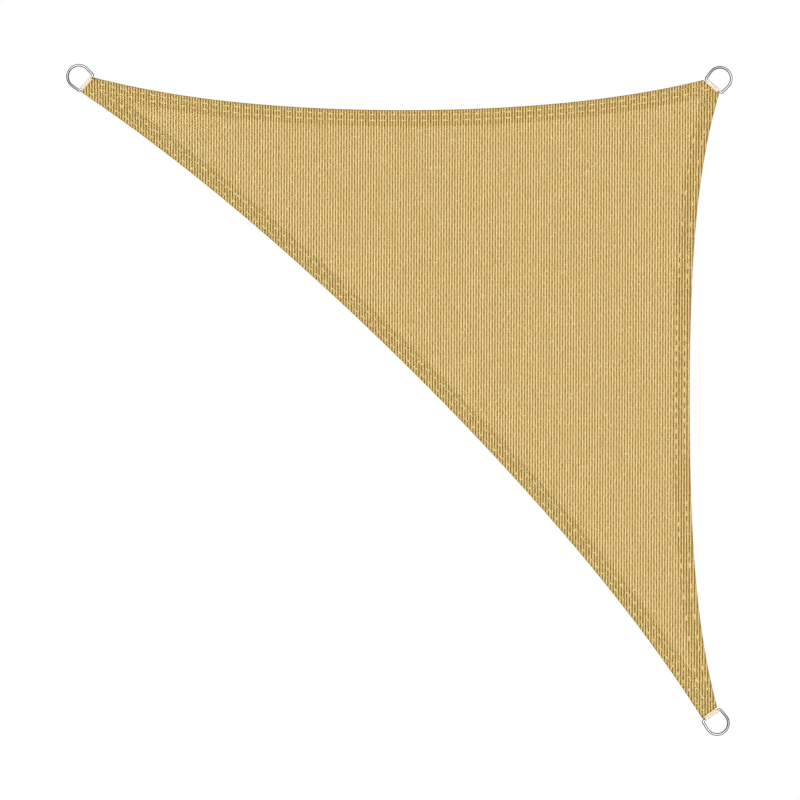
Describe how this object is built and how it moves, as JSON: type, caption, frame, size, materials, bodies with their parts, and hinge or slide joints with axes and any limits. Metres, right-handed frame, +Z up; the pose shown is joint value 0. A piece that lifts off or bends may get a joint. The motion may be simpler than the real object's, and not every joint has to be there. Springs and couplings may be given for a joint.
{
  "type": "shade sail",
  "caption": "Right-triangle shade sail of ribbed knitted cloth with hollow-cut hemmed edges and a steel D-ring in a webbing loop at each corner, lying flat.",
  "frame": {"origin": "centre of the footprint's bounding box, on the surface that the sail lies on", "axes": "+Z up out of the cloth's upper face; the square corner is towards +X and +Y, the left tip towards -X and +Y, and the foot tip towards +X and -Y; the ribs of the knit run along Y"},
  "size_m": [1.9976, 2.0142, 0.011],
  "materials": {
    "sail_cloth": "matt ribbed knit, sand coloured",
    "webbing": "woven strap, cream",
    "ring_steel": "polished stainless wire",
    "thread": "light sewing thread"
  },
  "bodies": {
    "root": {"sail_cloth": "sail_cloth", "webbing_loop_left": "webbing", "webbing_loop_square": "webbing", "webbing_loop_foot": "webbing", "d_ring_left": "ring_steel", "d_ring_square": "ring_steel", "d_ring_foot": "ring_steel"}
  },
  "joints": []
}
